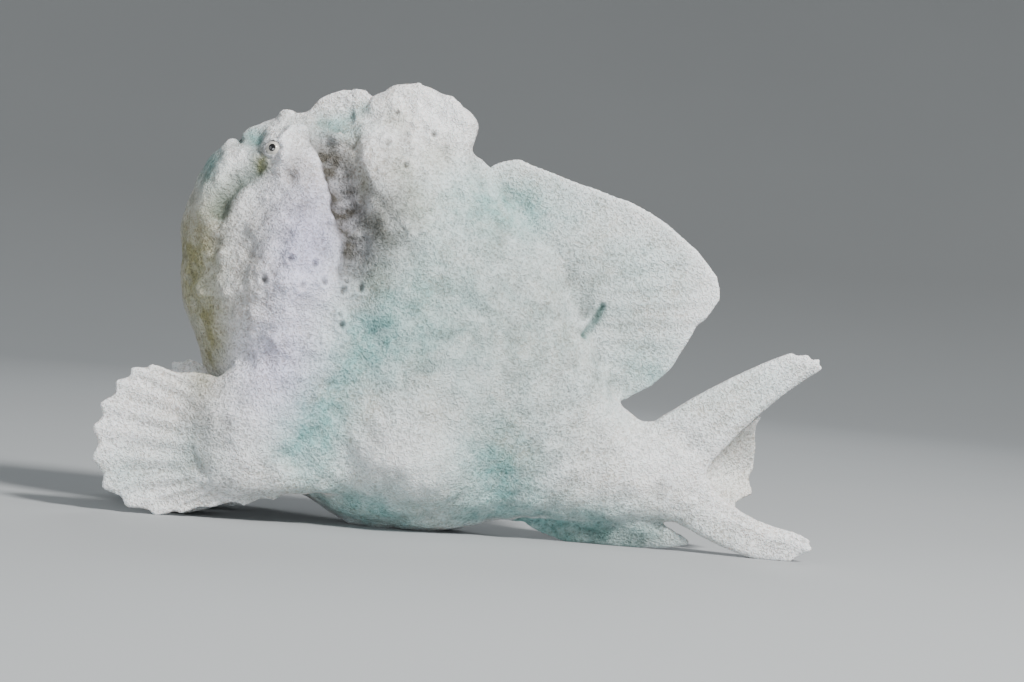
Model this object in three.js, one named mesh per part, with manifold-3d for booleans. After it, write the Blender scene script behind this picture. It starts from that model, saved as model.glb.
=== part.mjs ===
// A life-size still model of a large adult frogfish, resting on its belly and fins.
// Millimetres, +Z up. The fish faces -X, its left side faces -Y, and it rests on Z = 0.
import * as THREE from 'three';
import { mergeVertices } from 'three/addons/utils/BufferGeometryUtils.js';
import Module from 'manifold-3d';

const wasm = await Module();
wasm.setup();

// Driving sizes
const GAP = 0.3;
const SEAM = 0.3;
const EYE_RADIUS = 5.2;
const EYE_SHOWS = 3.4;
const EYE_AT = { x: -124, z: 181.4 };
const ROD_RADIUS = 1.25;
const LURE_RADIUS = 2.8;
const SHOULDER = new THREE.Vector3(-70, 32, 0);
const FAR_ARM_TURN = 0.22;
const SPAN = 600;

const SKIN = { color: 0xd9d3cf, roughness: 0.75, metalness: 0 };
const SHADED_SKIN = { color: 0xc9bcae, roughness: 0.75, metalness: 0 };
const EYE = { color: 0xb9ab84, roughness: 0.12, metalness: 0 };

// Each station of a loft joins an upper and a lower outline point, [x, z], across a half-width.
// narrow is how much slimmer the upper half of the section is than the lower half.
const BODY = [
  { top: [-167, 122], bottom: [-167, 122], half: 0, narrow: 0 },
  { top: [-168.5, 141], bottom: [-165, 104], half: 13, narrow: 0 },
  { top: [-165.5, 159], bottom: [-160, 91], half: 22, narrow: 0 },
  { top: [-157, 176], bottom: [-154, 80], half: 30, narrow: 0.05 },
  { top: [-144, 189.5], bottom: [-147.5, 66], half: 36, narrow: 0.15 },
  { top: [-122, 201.5], bottom: [-138, 50], half: 42, narrow: 0.3 },
  { top: [-98, 202], bottom: [-122, 32], half: 45, narrow: 0.35 },
  { top: [-70, 198], bottom: [-98, 12], half: 46, narrow: 0.3 },
  { top: [-42, 189], bottom: [-66, -1], half: 45, narrow: 0.3 },
  { top: [-16, 176], bottom: [-30, -1], half: 41, narrow: 0.3 },
  { top: [8, 155], bottom: [-2, 8], half: 34, narrow: 0.3 },
  { top: [28, 128], bottom: [24, 11], half: 26, narrow: 0.25 },
  { top: [42, 100], bottom: [48, 12], half: 19, narrow: 0.15 },
  { top: [56, 71], bottom: [67, 13.5], half: 14, narrow: 0.05 },
  { top: [68, 63.5], bottom: [80, 14.5], half: 10.5, narrow: 0 },
  { top: [84, 63], bottom: [91, 15], half: 8, narrow: 0 },
  { top: [98, 54], bottom: [100, 26], half: 5, narrow: 0 },
  { top: [102, 40], bottom: [102, 40], half: 0, narrow: 0 },
];

// Soft swellings and hollows of the flanks: a middle [x, z], its reach [x, z] and its lift.
const SWELLINGS = [
  { name: 'eye mound', at: [-119, 182], reach: [15, 12], lift: 9 },
  { name: 'cheek', at: [-117, 118], reach: [22, 42], lift: 7 },
  { name: 'lip', at: [-153, 172], reach: [8, 26], lift: 4 },
  { name: 'shoulder', at: [-52, 150], reach: [28, 30], lift: 4 },
  { name: 'belly', at: [-50, 34], reach: [32, 26], lift: 7 },
  { name: 'waist', at: [-4, 28], reach: [16, 28], lift: -6 },
  { name: 'hollow behind the belly', at: [22, 62], reach: [26, 16], lift: -2 },
];

// Long creases of the flanks: the line they follow, their half-width and their depth.
const CREASES = [
  { name: 'behind the cheek', line: [[-97, 200], [-93, 178], [-86, 150], [-84, 122]], reach: 8, depth: 8 },
  { name: 'under the eye', line: [[-138, 186], [-128, 168], [-122, 150]], reach: 6, depth: 3 },
];

const ARM = [
  { top: [-60, 70], bottom: [-60, 70], half: 0, y: -24 },
  { top: [-72, 116], bottom: [-66, 18], half: 15, y: -28 },
  { top: [-95, 106], bottom: [-86, 16], half: 17, y: -34 },
  { top: [-117, 88], bottom: [-106, 15], half: 15, y: -39 },
  { top: [-135, 73], bottom: [-124, 11], half: 11, y: -43 },
  { top: [-147, 62], bottom: [-142, 14], half: 7, y: -45 },
  { top: [-153, 40], bottom: [-153, 40], half: 0, y: -46 },
];

const PELVIC_STALK = [
  { top: [-118, 62], bottom: [-118, 62], half: 0, y: -10 },
  { top: [-130, 54], bottom: [-106, 48], half: 8, y: -11 },
  { top: [-139, 32], bottom: [-116, 24], half: 8, y: -14 },
  { top: [-146, 16], bottom: [-124, 6], half: 7, y: -17 },
  { top: [-140, 3], bottom: [-140, 3], half: 0, y: -18 },
];

const lerp = THREE.MathUtils.lerp;
const smooth = THREE.MathUtils.smoothstep;

/** A curve through [x, z] points, with y where a third number gives it. */
function curve(points) {
  return new THREE.CatmullRomCurve3(points.map(([x, z, y = 0]) => new THREE.Vector3(x, y, z)));
}

/** The manifold solid of a closed three.js geometry. */
function solid(geometry) {
  const bare = geometry.clone();
  bare.deleteAttribute('normal');
  bare.deleteAttribute('uv');
  const welded = mergeVertices(bare, 1e-3);
  const points = welded.attributes.position;
  const corners = [];
  for (let i = 0; i < welded.index.count; i += 3) {
    const [a, b, c] = [0, 1, 2].map((k) => welded.index.getX(i + k));
    if (a !== b && b !== c && c !== a) corners.push(a, b, c);
  }
  const made = new wasm.Manifold(new wasm.Mesh({
    numProp: 3, vertProperties: new Float32Array(points.array), triVerts: new Uint32Array(corners),
  }));
  return made;
}

/** The largest single body of a solid. */
function largest(body) {
  return body.decompose().sort((a, b) => b.volume() - a.volume())[0];
}

/** The body of a solid that lies nearest to a place. */
function nearest(bodies, place) {
  const distance = (body) => {
    const box = body.boundingBox();
    const middle = new THREE.Vector3(...box.min).add(new THREE.Vector3(...box.max)).multiplyScalar(0.5);
    return middle.distanceTo(place);
  };
  return [...bodies].sort((a, b) => distance(a) - distance(b))[0];
}

function distanceToLine(x, z, line) {
  const here = new THREE.Vector3(x, 0, z);
  let best = Infinity;
  for (let i = 1; i < line.length; i += 1) {
    const stretch = new THREE.Line3(
      new THREE.Vector3(line[i - 1][0], 0, line[i - 1][1]),
      new THREE.Vector3(line[i][0], 0, line[i][1]),
    );
    best = Math.min(best, stretch.closestPointToPoint(here, true, new THREE.Vector3()).distanceTo(here));
  }
  return best;
}

/** How far the flank stands out at a place, beyond its plain section. */
function relief(x, z) {
  let lift = 0;
  for (const { at, reach, lift: height } of SWELLINGS) {
    lift += height * Math.exp(-(((x - at[0]) / reach[0]) ** 2) - ((z - at[1]) / reach[1]) ** 2);
  }
  for (const { line, reach, depth } of CREASES) {
    lift -= depth * Math.exp(-((distanceToLine(x, z, line) / reach) ** 2));
  }
  return lift;
}

/** A closed loft through stations: a sphere's rings become the sections. */
function loft(stations, around, along, { grow = 0, shaped = false } = {}) {
  const upper = curve(stations.map((s) => [...s.top, s.y ?? 0]));
  const lower = curve(stations.map((s) => [...s.bottom, s.y ?? 0]));
  const width = curve(stations.map((s) => [s.half, s.narrow ?? 0]));
  const shape = new THREE.SphereGeometry(1, around, along);
  const points = shape.attributes.position;
  const top = new THREE.Vector3();
  const bottom = new THREE.Vector3();
  const size = new THREE.Vector3();
  for (let i = 0; i < points.count; i += 1) {
    const t = Math.acos(THREE.MathUtils.clamp(points.getY(i), -1, 1)) / Math.PI;
    const turn = Math.atan2(points.getZ(i), -points.getX(i));
    upper.getPoint(t, top);
    lower.getPoint(t, bottom);
    width.getPoint(t, size);
    const middle = top.clone().add(bottom).multiplyScalar(0.5);
    const rise = top.clone().sub(bottom).multiplyScalar(0.5);
    const height = rise.length();
    const up = height > 1e-6 ? rise.divideScalar(height) : new THREE.Vector3(0, 0, 1);
    const atPole = t < 1e-6 || t > 1 - 1e-6;
    const vertical = Math.sin(turn);
    const sideways = atPole ? 0 : Math.cos(turn);
    const place = middle.clone().addScaledVector(up, atPole ? 0 : (height + grow) * vertical);
    let half = Math.max(size.x, 0) * (1 - size.z * vertical) + grow;
    if (shaped) half += relief(place.x, place.z) * smooth(half, 4, 24);
    place.y += half * sideways;
    if (grow && atPole) place.addScaledVector(outward(upper, lower, t), grow);
    points.setXYZ(i, place.x, place.y, place.z);
  }
  const made = solid(shape);
  return made.volume() < 0 ? solid(flipped(shape)) : made;
}

/** The direction in which a loft's end points, away from the rest of the loft. */
function outward(upper, lower, t) {
  const inner = t < 0.5 ? 0.02 : 0.98;
  const end = upper.getPoint(t).add(lower.getPoint(t));
  return end.sub(upper.getPoint(inner).add(lower.getPoint(inner))).normalize();
}

/** The same geometry with its faces turned over. */
function flipped(geometry) {
  const turned = geometry.clone();
  const corners = turned.index.array;
  for (let i = 0; i < corners.length; i += 3) [corners[i], corners[i + 1]] = [corners[i + 1], corners[i]];
  return turned;
}

/** A closed plate about a surface(u, v), thickness(u, v) thick: a box bent to it. */
function blade(surface, thickness, across, along, grow = 0) {
  const shape = new THREE.BoxGeometry(1, 1, 1, across, 1, along);
  const points = shape.attributes.position;
  const step = 1e-3;
  for (let i = 0; i < points.count; i += 1) {
    const u = points.getX(i) + 0.5;
    const v = points.getZ(i) + 0.5;
    const side = Math.sign(points.getY(i));
    const here = surface(u, v);
    const alongU = surface(Math.min(u + step, 1), v).sub(surface(Math.max(u - step, 0), v));
    const alongV = surface(u, Math.min(v + step, 1)).sub(surface(u, Math.max(v - step, 0)));
    const normal = alongV.clone().cross(alongU).normalize();
    here.addScaledVector(normal, side * (thickness(u, v) / 2 + grow));
    if (grow) {
      here.addScaledVector(alongU.normalize(), (u === 0 ? -grow : 0) + (u === 1 ? grow : 0));
      here.addScaledVector(alongV.normalize(), (v === 0 ? -grow : 0) + (v === 1 ? grow : 0));
    }
    points.setXYZ(i, here.x, here.y, here.z);
  }
  const made = solid(shape);
  return made.volume() < 0 ? solid(flipped(shape)) : made;
}

/** A surface that runs from a root curve to an edge curve, scalloped between ray tips. */
function fan(root, edge, { rays = 0, notch = 0, bow = () => 0 } = {}) {
  return (u, v) => {
    const scallop = rays ? notch * Math.abs(Math.sin(Math.PI * u * rays)) : 0;
    const from = root.getPoint(u);
    const to = edge.getPoint(u);
    const length = from.distanceTo(to);
    const reach = length > 1e-6 ? v * (1 - (scallop * v ** 3) / length) : v;
    const place = from.lerp(to, reach);
    place.y += bow(u, v);
    return place;
  };
}

/** A plate's thickness: thick at the root, thin at the edge, raised along each ray. */
function rayed(rootThick, edgeThick, rays = 0, ridge = 0) {
  return (u, v) => {
    const rise = Math.cos(Math.PI * u * rays) ** 2 * Math.sin(Math.PI * Math.min(v, 0.9));
    const raised = rays ? ridge * rise : 0;
    return lerp(rootThick, edgeThick, smooth(v, 0, 1)) + raised;
  };
}

/** A thin curved cutter that follows [x, z] points right through the body's width. */
function seam(points, width = () => SEAM, steps = 9) {
  const line = curve(points);
  const left = [];
  const right = [];
  for (let i = 0; i <= steps; i += 1) {
    const t = i / steps;
    const here = line.getPoint(t);
    const ahead = line.getTangent(t);
    const aside = new THREE.Vector2(-ahead.z, ahead.x).multiplyScalar(width(t) / 2);
    left.push(new THREE.Vector2(here.x, here.z).add(aside));
    right.unshift(new THREE.Vector2(here.x, here.z).sub(aside));
  }
  const outline = new THREE.Shape([...left, ...right]);
  const band = new THREE.ExtrudeGeometry(outline, { depth: SPAN, bevelEnabled: false });
  band.rotateX(Math.PI / 2);
  band.translate(0, SPAN / 2, 0);
  return solid(band);
}

/** Mirrors a solid to the other side of the fish. */
function mirrored(body) {
  return body.mirror([0, 1, 0]);
}

const parts = new Map();
const group = new THREE.Group();

function add(name, body, finish = SKIN) {
  parts.set(name, { body, finish });
}

const floorCutter = solid(new THREE.BoxGeometry(SPAN * 2, SPAN * 2, 100).translate(0, 0, -50));
const wholeBody = loft(BODY, 30, 34, { shaped: true });
const aroundBody = loft(BODY, 30, 34, { shaped: true, grow: GAP });

/** The y of the body's left flank at a place. */
function flank(x, z) {
  const probe = solid(new THREE.BoxGeometry(0.4, SPAN, 0.4).translate(x, 0, z));
  return wholeBody.intersect(probe).boundingBox().min[1];
}

/** The z of the body's upper surface at a place. */
function crown(x, y) {
  const probe = solid(new THREE.BoxGeometry(0.4, 0.4, SPAN).translate(x, y, SPAN / 2 + 100));
  return wholeBody.intersect(probe).boundingBox().max[2];
}

// Eyes, each in its own socket
const eyeY = flank(EYE_AT.x, EYE_AT.z) + EYE_RADIUS - EYE_SHOWS;
const eyeball = (radius) => solid(new THREE.SphereGeometry(radius, 12, 8).translate(EYE_AT.x, eyeY, EYE_AT.z));
add('eye_left', eyeball(EYE_RADIUS), EYE);
add('eye_right', mirrored(eyeball(EYE_RADIUS)), EYE);
const sockets = eyeball(EYE_RADIUS + GAP).add(mirrored(eyeball(EYE_RADIUS + GAP)));

// The body, parted at the mouth, the jaw, the gill crease, the belly and the tail
const slitWidth = (t) => lerp(5, 1.4, smooth(t, 0.2, 0.8));
const mouthSlit = seam([[-154, 199], [-146, 189.5], [-140, 181.5], [-135.5, 173]], slitWidth);
const jawSeam = seam([
  [-135, 174], [-140, 163.5], [-146, 155], [-149, 144], [-147, 128],
  [-142, 110], [-136, 94], [-134, 76], [-140, 60], [-148, 40],
]);
const gillSeam = seam([
  [-86, 222], [-94, 196], [-92, 172], [-86, 148], [-84, 122], [-90, 92], [-98, 60], [-108, 30], [-112, 0],
]);
const bellySeam = seam([[-99, 57], [-70, 62], [-36, 60], [-8, 44], [10, 20], [16, -8]]);
const tailSeam = seam([[62, 130], [52, 96], [46, 60], [44, 20], [44, -10]]);
const carved = wholeBody
  .subtract(mouthSlit.add(jawSeam)).subtract(gillSeam).subtract(bellySeam).subtract(tailSeam)
  .subtract(sockets).subtract(floorCutter);
const pieces = carved.decompose().sort((a, b) => b.volume() - a.volume()).slice(0, 5);
const BODY_PLACES = {
  head: new THREE.Vector3(-115, 0, 118),
  lower_jaw: new THREE.Vector3(-152, 0, 125),
  trunk: new THREE.Vector3(-18, 0, 115),
  belly: new THREE.Vector3(-50, 0, 30),
  tail_stalk: new THREE.Vector3(75, 0, 45),
};
for (const [name, place] of Object.entries(BODY_PLACES)) add(name, nearest(pieces, place));

// The three spines of the first dorsal fin: the rod with its lure, a flap and a thick hump
const humpRoot = curve([[-80, 178], [-64, 160], [-44, 156], [-26, 164]]);
const humpEdge = curve([
  [-93, 200], [-84, 206.5], [-74, 214.5], [-65, 220.5], [-54, 220.5], [-41, 216.5], [-31, 209.5],
  [-26, 202.5], [-28, 196.5], [-30.5, 192], [-26, 187], [-17, 180],
]);
const humpShape = [fan(humpRoot, humpEdge), rayed(26, 8)];
const hump = blade(...humpShape, 16, 5).subtract(aroundBody);
const aroundHump = blade(...humpShape, 16, 5, GAP);
add('dorsal_spine_3', largest(hump));

const flapRoot = curve([[-116, 196], [-104, 197], [-94, 198], [-84, 199]]);
const flapEdge = curve([
  [-116, 201], [-110, 206.5], [-104, 211.5], [-98, 214.6], [-91, 215.8], [-85, 215.6], [-80.5, 213], [-79, 208],
]);
const flap = blade(fan(flapRoot, flapEdge, { rays: 4, notch: 0.5 }), rayed(6, 2.2), 12, 2);
add('dorsal_spine_2', largest(flap.subtract(aroundBody).subtract(aroundHump)));

const rodPath = curve([
  [-125.5, 197, -2],
  [-124, crown(-124, -3) + 2.6, -3],
  [-119, crown(-119, -6) + 2.6, -6],
  [-111, crown(-111, -9) + 1.9, -9],
  [-103, crown(-103, -12) + 1.7, -12],
  [-96, crown(-96, -14.5) + 1.7, -14.5],
]);
const rodSection = new THREE.Shape().absarc(0, 0, ROD_RADIUS, 0, 2 * Math.PI);
const rodAlong = { extrudePath: rodPath, steps: 7, curveSegments: 3, bevelEnabled: false };
const rodGeometry = new THREE.ExtrudeGeometry(rodSection, rodAlong);
const lureAt = rodPath.getPoint(1);
const lureBall = (radius) => {
  const ball = new THREE.SphereGeometry(radius, 8, 6).scale(1.5, 0.8, 0.9);
  return solid(ball.translate(lureAt.x + 2.5, lureAt.y - 0.6, lureAt.z + 0.2));
};
add('illicium', largest(solid(rodGeometry).subtract(aroundBody).subtract(lureBall(LURE_RADIUS + GAP))));
add('esca', largest(lureBall(LURE_RADIUS).subtract(aroundBody)));

// The soft dorsal fin and the anal fin
const DORSAL_RAYS = 13;
const dorsalRoot = curve([[-12, 160], [10, 138], [26, 112], [38, 84]]);
const dorsalEdge = curve([
  [-18, 184], [-6.5, 188.6], [8, 184.5], [26, 179.4], [44, 174.5], [60, 169.5], [76, 160], [89.5, 149.5],
  [98.5, 139.5], [101.8, 130], [98, 120.5], [91, 112.5], [85, 99.5], [78, 88], [69, 80], [58, 73],
]);
const dorsal = blade(fan(dorsalRoot, dorsalEdge), rayed(12, 2, DORSAL_RAYS, 0.8), 26, 4);
add('dorsal_fin', largest(dorsal.subtract(aroundBody).subtract(aroundHump)));

const ANAL_RAYS = 7;
const analRoot = curve([[10, 24], [26, 26], [44, 26], [62, 24]]);
const analEdge = curve([
  [6, 8], [16, 6], [28, 1.5], [43, -1], [63, -1], [83, 1], [99, 4.2], [92, 7.6], [82, 12], [72, 16],
]);
const analSurface = fan(analRoot, analEdge, { bow: (u, v) => 3 * v * v });
const anal = blade(analSurface, rayed(10, 2, ANAL_RAYS, 0.8), 14, 3);
add('anal_fin', largest(anal.subtract(aroundBody).subtract(floorCutter)));

// The tail fin: two thick lobes in a Y, and between them a web folded away to the right side
const TAIL_RAYS = 3;
const upperLobe = {
  root: curve([[76, 65], [86, 56], [95, 48], [101, 41]]),
  middle: curve([[110, 88], [117, 81.5], [121, 76], [125, 70.5]]),
  tip: curve([[140, 104], [148, 103.6], [154, 101.8], [157, 99]]),
};
const lowerLobe = {
  root: curve([[101, 39.5], [95, 32], [91, 24], [90, 15]]),
  middle: curve([[121, 22.5], [121, 16], [121, 9], [120, 2.5]]),
  tip: curve([[153, 13.6], [157.5, 11], [159, 7], [146, -2]]),
};
function lobe({ root, middle: halfway, tip }, grow = 0) {
  const surface = (u, v) => {
    const from = root.getPoint(u);
    const to = tip.getPoint(u);
    const pull = halfway.getPoint(u).multiplyScalar(2).sub(from.clone().add(to).multiplyScalar(0.5));
    const scallop = 1 - 0.035 * Math.abs(Math.sin(Math.PI * u * TAIL_RAYS)) * v ** 6;
    return new THREE.QuadraticBezierCurve3(from, pull, to).getPoint(v * scallop);
  };
  const across = (u) => Math.sqrt(Math.sin(Math.PI * lerp(0.06, 0.94, u)));
  const rounded = (u, v) => lerp(4, 11, across(u)) * lerp(1, 0.45, v);
  return blade(surface, rounded, 6, 6, grow).subtract(aroundBody).subtract(floorCutter);
}
const upper = lobe(upperLobe);
const lower = lobe(lowerLobe).subtract(lobe(upperLobe, GAP));
const WEB_RAYS = 5;
const webRoot = curve([[92, 50, 9], [95, 45, 12], [96, 40, 13], [95, 34, 12], [92, 28, 9]]);
const webEdge = curve([
  [129, 72, 6], [127, 64, 13], [129, 54, 20], [128.5, 43, 24], [127, 35.5, 22], [130, 32, 18], [122.5, 28, 12], [119, 23, 6],
]);
const bowed = (u, v) => 3 * Math.sin(Math.PI * v);
const webShape = fan(webRoot, webEdge, { rays: WEB_RAYS, notch: 1.5, bow: bowed });
const web = blade(webShape, rayed(5, 1.8, WEB_RAYS, 1), 12, 5).subtract(aroundBody);
add('tail_fin_upper', largest(upper));
add('tail_fin_lower', largest(lower));
const folded = web.subtract(lobe(upperLobe, GAP)).subtract(lobe(lowerLobe, GAP));
add('tail_fin_middle', largest(folded), SHADED_SKIN);

// Pectoral arms with their hand-like fins, and pelvic feet under the throat
const HAND_RAYS = 13;
const handRoot = curve([
  [-134, 66, -43], [-140, 62, -44], [-143, 56, -45], [-144, 49, -45], [-145, 42, -45], [-145, 35, -45], [-144, 28, -45],
  [-142, 22, -45], [-138, 19, -44], [-133, 18, -43], [-126, 18, -42], [-118, 19, -41], [-108, 20, -39], [-99, 22, -37],
]);
const handEdge = curve([
  [-164, 69, -42], [-174, 72.5, -44], [-182.5, 70, -46], [-189, 63, -48], [-195.5, 51.5, -50], [-198, 40, -51],
  [-197, 25, -51], [-191, 11, -50], [-178.5, 3, -49], [-165, -0.5, -47], [-152.5, 2, -45], [-139, 6, -43],
  [-123, 7.5, -41], [-108, 12, -39],
]);
const handSurface = fan(handRoot, handEdge, { rays: HAND_RAYS, notch: 3.2, bow: bowed });
const handBlade = blade(handSurface, rayed(9, 1.6, HAND_RAYS, 1.6), 26, 3);
const arm = largest(loft(ARM, 14, 9).subtract(aroundBody));
const aroundArm = loft(ARM, 14, 9, { grow: GAP });
const hand = largest(handBlade.subtract(aroundBody).subtract(aroundArm).subtract(floorCutter));

const FOOT_RAYS = 5;
const footRoot = curve([[-136, 8, -9], [-139, 8, -14], [-139, 8, -19], [-136, 8, -25]]);
const footEdge = curve([[-153, 1, -4], [-164, 1, -10], [-168, 1, -18], [-164, 1, -27], [-153, 1, -34]]);
const footSurface = fan(footRoot, footEdge, { rays: FOOT_RAYS, notch: 2.2 });
const footBlade = blade(footSurface, rayed(6, 2.2, FOOT_RAYS, 1), 10, 2);
const stalk = largest(loft(PELVIC_STALK, 10, 6).subtract(aroundBody).subtract(floorCutter));
const aroundStalk = loft(PELVIC_STALK, 10, 6, { grow: GAP });
const foot = largest(footBlade.subtract(aroundStalk).subtract(aroundBody).subtract(floorCutter));

const LIMBS = { pectoral_arm: arm, pectoral_fin: hand, pelvic_stalk: stalk, pelvic_fin: foot };
for (const [name, body] of Object.entries(LIMBS)) {
  add(`${name}_left`, body);
  let right = mirrored(body);
  if (name.startsWith('pectoral')) {
    const turned = right.translate(SHOULDER.clone().negate().toArray());
    right = turned.rotate([0, 0, -THREE.MathUtils.radToDeg(FAR_ARM_TURN)]).translate(SHOULDER.toArray());
    right = largest(right.subtract(aroundBody).subtract(floorCutter));
  }
  add(`${name}_right`, right);
}

// Each solid becomes a named mesh, and the group stands with its base's middle at the origin
for (const [name, { body, finish }] of parts) {
  const { vertProperties, triVerts, numProp } = body.getMesh();
  const geometry = new THREE.BufferGeometry();
  const places = new Float32Array((vertProperties.length / numProp) * 3);
  for (let i = 0; i < places.length / 3; i += 1) {
    places.set(vertProperties.slice(i * numProp, i * numProp + 3), i * 3);
  }
  geometry.setAttribute('position', new THREE.BufferAttribute(places, 3));
  geometry.setIndex(new THREE.BufferAttribute(new Uint32Array(triVerts), 1));
  geometry.computeVertexNormals();
  const mesh = new THREE.Mesh(geometry, new THREE.MeshStandardMaterial(finish));
  mesh.name = name;
  group.add(mesh);
}
const bounds = new THREE.Box3().setFromObject(group);
const middle = bounds.getCenter(new THREE.Vector3());
group.position.set(-middle.x, -middle.y, -bounds.min.z);

export default group;
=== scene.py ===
"""The looks of a still, life-size frogfish: its skin, its eyes and the stage it is seen on."""
import math
import random

import bmesh
import bpy
import numpy as np
from mathutils import Matrix, Vector, noise
from mathutils.bvhtree import BVHTree
from mathutils.kdtree import KDTree


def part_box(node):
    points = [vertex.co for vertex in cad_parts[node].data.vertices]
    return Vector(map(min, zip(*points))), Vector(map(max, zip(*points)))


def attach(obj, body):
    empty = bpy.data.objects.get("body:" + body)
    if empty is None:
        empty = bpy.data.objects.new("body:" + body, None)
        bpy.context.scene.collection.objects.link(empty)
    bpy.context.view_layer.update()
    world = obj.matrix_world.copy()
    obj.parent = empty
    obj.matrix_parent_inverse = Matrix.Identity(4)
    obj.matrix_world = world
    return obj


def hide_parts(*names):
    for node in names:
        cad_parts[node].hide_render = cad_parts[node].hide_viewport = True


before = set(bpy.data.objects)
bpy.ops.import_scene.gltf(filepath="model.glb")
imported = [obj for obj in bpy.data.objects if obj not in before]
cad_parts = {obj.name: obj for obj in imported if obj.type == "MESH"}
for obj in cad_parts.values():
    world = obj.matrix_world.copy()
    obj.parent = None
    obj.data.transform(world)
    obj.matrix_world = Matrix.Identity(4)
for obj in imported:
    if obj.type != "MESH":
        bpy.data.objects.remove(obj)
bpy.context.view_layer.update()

bl_info = {
    "name": "Frogfish",
    "version": (1, 0, 0),
    "blender": (4, 5, 0),
    "location": "3D View > Sidebar > Frogfish",
    "description": "Skin, eyes and stage of a still frogfish model",
    "category": "Object",
}

MM = 0.001
TURN = math.radians

# Places are in millimetres from the middle of the fish: x towards the tail, y towards its right side, z up.
EYE_X = -124.0
SHOULDER = (-70.0, 32.0)
FAR_ARM_TURN = 0.22

BODY_NODES = (
    "head", "lower_jaw", "trunk", "belly", "tail_stalk", "pectoral_arm_left", "pectoral_arm_right",
    "pelvic_stalk_left", "pelvic_stalk_right", "dorsal_spine_3",
)
FIN_NODES = (
    "dorsal_spine_2", "illicium", "esca", "dorsal_fin", "anal_fin", "tail_fin_upper", "tail_fin_middle",
    "tail_fin_lower", "pectoral_fin_left", "pectoral_fin_right", "pelvic_fin_left", "pelvic_fin_right",
)

# Each fin's root and edge, from its first ray to its last, [x, z], with its rays and their height.
FINS = {
    "hand": {
        "root": [(-134, 66), (-140, 62), (-143, 56), (-144, 49), (-145, 42), (-145, 35), (-144, 28),
                 (-142, 22), (-138, 19), (-133, 18), (-126, 18), (-118, 19), (-108, 20), (-99, 22)],
        "edge": [(-164, 69), (-174, 72.5), (-182.5, 70), (-189, 63), (-195.5, 51.5), (-198, 40), (-197, 25),
                 (-191, 11), (-178.5, 3), (-165, -0.5), (-152.5, 2), (-139, 6), (-123, 7.5), (-108, 12)],
        "rays": 13, "height": 0.7,
    },
    "dorsal": {
        "root": [(-12, 160), (10, 138), (26, 112), (38, 84)],
        "edge": [(-18, 184), (-6.5, 188.6), (8, 184.5), (26, 179.4), (44, 174.5), (60, 169.5), (76, 160),
                 (89.5, 149.5), (98.5, 139.5), (101.8, 130), (98, 120.5), (91, 112.5), (85, 99.5), (78, 88),
                 (69, 80), (58, 73)],
        "rays": 13, "height": 0.28,
    },
    "anal": {
        "root": [(10, 24), (26, 26), (44, 26), (62, 24)],
        "edge": [(6, 8), (16, 6), (28, 1.5), (43, -1), (63, -1), (83, 1), (99, 4.2), (92, 7.6), (82, 12),
                 (72, 16)],
        "rays": 7, "height": 0.5,
    },
    "tail_upper": {
        "root": [(76, 65), (86, 56), (95, 48), (101, 41)],
        "edge": [(140, 104), (148, 103.6), (154, 101.8), (157, 99)],
        "rays": 3, "height": 0.5,
    },
    "tail_lower": {
        "root": [(101, 39.5), (95, 32), (91, 24), (90, 15)],
        "edge": [(153, 13.6), (157.5, 11), (159, 7), (146, -2)],
        "rays": 3, "height": 0.5,
    },
}

# Lines of the skin's relief in side view, each from its upper end to its lower one.
LOWER_LIP = [(-134, 175), (-139, 176.5), (-144.5, 172.5), (-149.5, 165), (-153.5, 157), (-156, 148)]
UPPER_RIM = [(-132, 195.5), (-140.5, 191.5), (-148.5, 185), (-153, 178)]
LIP_GROOVE = [(-130, 172), (-134, 168.5), (-141, 163), (-145.5, 156), (-148, 148), (-149.5, 137)]
MOUTH_SLIT = [(-155, 200), (-146, 189.5), (-139, 180.5)]
EYE_RIDGE = [(-111, 191.5), (-117, 190.5), (-119, 186), (-118.5, 180), (-117.5, 174)]
CHEEK_EDGE = [
    (-106, 186), (-100, 177), (-98, 168), (-95.5, 160), (-91, 149), (-87, 140), (-86, 130), (-87, 112),
]
HUMP_EDGE = [(-86, 196), (-84, 186), (-82, 177), (-77, 168), (-72, 161), (-65, 155)]
FLAP_GROOVE = [(-79, 211), (-86, 204), (-93, 199.5), (-101, 198), (-109, 199)]
ARM_GROOVE = [(-63, 108), (-71, 90), (-80, 70), (-90, 52), (-97, 38), (-103, 20)]
SIDE_FOLD = [(43.5, 119), (40.5, 111.5), (36.5, 104.5)]

# Soft swellings (+) and hollows (-) of the flanks: height, x, z, reach along x, reach along z.
FACE_RELIEF = (
    (4.2, -124, 181.5, 6.5, 6.5),  # mound of the eye
    (2.2, -96, 189.5, 3.5, 3),  # wart behind the eye
    (1.8, -122, 200, 4, 3.5),  # knob on the snout
    (1.2, -124, 171, 6, 3),  # fold under the eye
    (-3.2, -114, 170, 3.6, 7),  # hollow behind the eye
    (-2.4, -104, 188, 6, 3.5),  # hollow above the cheek
    (5.2, -110, 138, 18, 36),  # cheek
    (-1.6, -132, 140, 5, 26),  # dip between cheek and chin
)
FLANK_RELIEF = (
    (3.5, -52, 192, 22, 17),  # hump of the third spine
    (-3.0, -8, 162, 20, 13),  # saddle in front of the dorsal fin
    (3.5, -42, 34, 20, 17),  # belly
    (-2.5, -66, 66, 12, 14),  # hollow behind the arm
    (2.6, 10, 72, 26, 20),  # middle of the flank
    (-2.4, 44, 50, 8, 24),  # waist
    (-2.2, 30, 118, 8, 20),  # root of the dorsal fin
    (-1.8, 56, 104, 12, 16),  # hollow in the dorsal fin
)

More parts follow.
